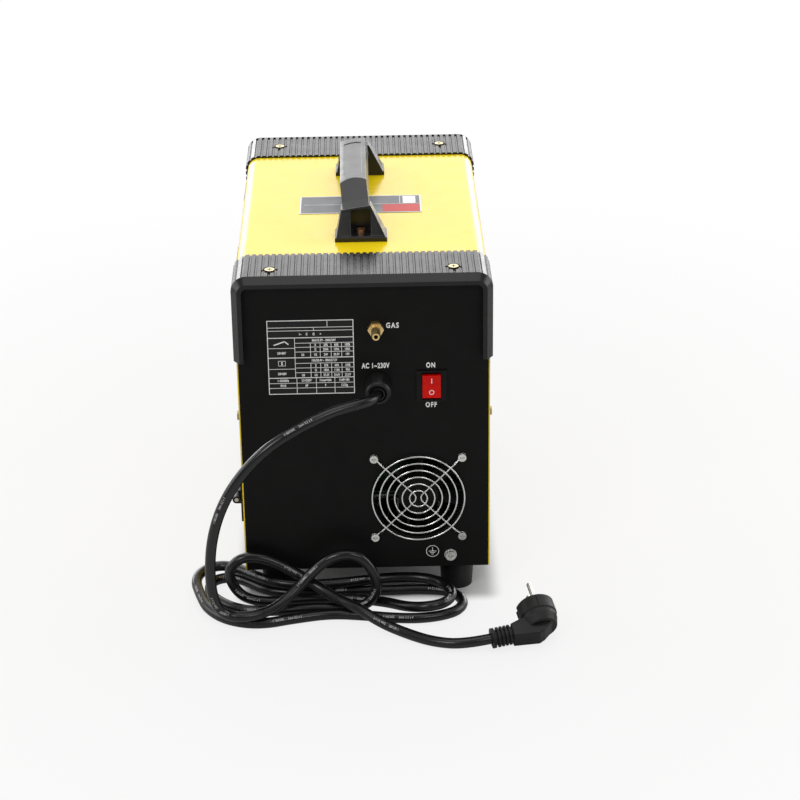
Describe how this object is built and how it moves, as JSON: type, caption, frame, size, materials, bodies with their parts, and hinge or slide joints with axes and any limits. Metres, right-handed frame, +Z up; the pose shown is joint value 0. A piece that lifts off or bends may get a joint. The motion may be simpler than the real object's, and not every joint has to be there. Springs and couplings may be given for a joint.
{
  "type": "MIG welding machine",
  "caption": "Inverter MIG welding machine: yellow steel case with ribbed black trims, black rear panel with fan guard, rocker switch, gas inlet and mains lead, and a side wire compartment.",
  "frame": {"origin": "middle of the footprint on the floor, halfway between the rear and front panels", "axes": "+Y runs forward from the rear panel to the front panel, +X is to the right as seen from the rear, +Z up"},
  "size_m": [0.3452, 0.5378, 0.3764],
  "materials": {
    "yellow_steel": "glossy powder coat",
    "black_steel": "matt powder coat",
    "black_plastic": "fine grain",
    "black_rubber": "matt",
    "cord_rubber": "satin sheath",
    "zinc_steel": "zinc plated",
    "copper_steel": "copper plated",
    "chrome_wire": "bright plated wire",
    "nickel": "nickel plated",
    "hard_steel": "ground",
    "yellow_brass": "machined",
    "bare_aluminium": "cast or extruded",
    "copper_wound": "lacquered winding on a dark core",
    "green_board": "circuit board with parts",
    "red_plastic": "glossy",
    "grey_plastic": "glossy",
    "dark_fascia": "printed film",
    "grey_label": "printed film",
    "black_label": "white print on black"
  },
  "bodies": {
    "machine": {"base_pan": "black_steel", "rear_panel": "black_steel", "front_panel": "black_steel", "cover": "yellow_steel", "rear_trim": "black_plastic", "front_trim": "black_plastic", "hinge_leaves": "black_plastic", "hinge_pins": "zinc_steel", "centre_wall": "zinc_steel", "handle": "black_plastic", "handle_screws": "copper_steel", "case_screws": "zinc_steel", "top_sticker": "grey_label", "rating_plate": "black_label", "rubber_feet": "black_rubber", "foot_screws": "zinc_steel", "gas_inlet": "yellow_brass", "mains_gland": "black_plastic", "mains_cord": "cord_rubber", "plug_body": "black_rubber", "plug_pins": "nickel", "switch_housing": "black_plastic", "fan_guard": "chrome_wire", "fan_frame": "black_plastic", "fan_screws": "zinc_steel", "earth_bolt": "zinc_steel", "transformer": "copper_wound", "reactor": "copper_wound", "heat_sink": "bare_aluminium", "power_board": "green_board", "control_board": "green_board", "gas_valve": "yellow_brass", "gas_hose": "black_rubber", "feed_motor": "zinc_steel", "feeder_body": "bare_aluminium", "spool_axle": "black_plastic", "spool_nut": "black_plastic", "euro_flange": "black_plastic", "euro_core": "yellow_brass", "dinse_bodies": "black_plastic", "dinse_inserts": "yellow_brass", "fascia": "dark_fascia"},
    "side_door": {"side_door": "yellow_steel", "hinge_straps": "black_plastic", "latch_housings": "black_plastic"},
    "latch_slider_rear": {"latch_slider_rear": "black_plastic"},
    "latch_slider_front": {"latch_slider_front": "black_plastic"},
    "switch_rocker": {"switch_rocker": "red_plastic"},
    "fan_rotor": {"fan_rotor": "black_plastic"},
    "wire_spool": {"wire_spool": "black_plastic", "wire_winding": "copper_steel"},
    "drive_roll": {"drive_roll": "hard_steel"},
    "pressure_arm": {"pressure_arm": "bare_aluminium"},
    "idler_roll": {"idler_roll": "hard_steel"},
    "tension_lever": {"tension_lever": "black_plastic"},
    "knob_left": {"knob_left": "black_plastic"},
    "knob_middle": {"knob_middle": "black_plastic"},
    "knob_right": {"knob_right": "black_plastic"},
    "mode_button": {"mode_button": "grey_plastic"},
    "gas_button": {"gas_button": "grey_plastic"}
  },
  "joints": [
    {"name": "rocker_tip", "type": "hinge", "parent": "machine", "child": "switch_rocker", "pos_m": [0.0623, -0.202, 0.2209], "axis": [-1, 0, 0], "range_deg": [0, 14]},
    {"name": "fan_spin", "type": "hinge", "parent": "machine", "child": "fan_rotor", "pos_m": [0.049, -0.19, 0.1066], "axis": [0, 1, 0], "continuous": true},
    {"name": "door_hinge", "type": "hinge", "parent": "machine", "child": "side_door", "pos_m": [-0.124, 0, 0.093], "axis": [0, -1, 0], "range_deg": [0, 110]},
    {"name": "rear_latch_slide", "type": "slide", "parent": "side_door", "child": "latch_slider_rear", "axis": [0, 0, 1], "range_m": [0, 0.006]},
    {"name": "front_latch_slide", "type": "slide", "parent": "side_door", "child": "latch_slider_front", "axis": [0, 0, 1], "range_m": [0, 0.006]},
    {"name": "spool_spin", "type": "hinge", "parent": "machine", "child": "wire_spool", "pos_m": [-0.06, -0.05, 0.2], "axis": [1, 0, 0], "continuous": true},
    {"name": "roll_spin", "type": "hinge", "parent": "machine", "child": "drive_roll", "pos_m": [-0.062, 0.1, 0.1046], "axis": [1, 0, 0], "continuous": true},
    {"name": "arm_lift", "type": "hinge", "parent": "machine", "child": "pressure_arm", "pos_m": [-0.045, 0.068, 0.15], "axis": [1, 0, 0], "range_deg": [0, 45]},
    {"name": "idler_spin", "type": "hinge", "parent": "pressure_arm", "child": "idler_roll", "pos_m": [-0.062, 0.1, 0.1354], "axis": [1, 0, 0], "continuous": true},
    {"name": "lever_swing", "type": "hinge", "parent": "machine", "child": "tension_lever", "pos_m": [-0.045, 0.128, 0.116], "axis": [1, 0, 0], "range_deg": [0, 50]},
    {"name": "left_knob_turn", "type": "hinge", "parent": "machine", "child": "knob_left", "pos_m": [-0.062, 0.203, 0.214], "axis": [0, 1, 0], "range_deg": [-135, 135]},
    {"name": "middle_knob_turn", "type": "hinge", "parent": "machine", "child": "knob_middle", "pos_m": [0, 0.203, 0.214], "axis": [0, 1, 0], "range_deg": [-135, 135]},
    {"name": "right_knob_turn", "type": "hinge", "parent": "machine", "child": "knob_right", "pos_m": [0.062, 0.203, 0.214], "axis": [0, 1, 0], "range_deg": [-135, 135]},
    {"name": "mode_button_press", "type": "slide", "parent": "machine", "child": "mode_button", "axis": [0, -1, 0], "range_m": [0, 0.0015]},
    {"name": "gas_button_press", "type": "slide", "parent": "machine", "child": "gas_button", "axis": [0, -1, 0], "range_m": [0, 0.0015]}
  ],
  "couplings": [
    {"joint": "idler_spin", "follows": "roll_spin", "ratio": -1}
  ]
}
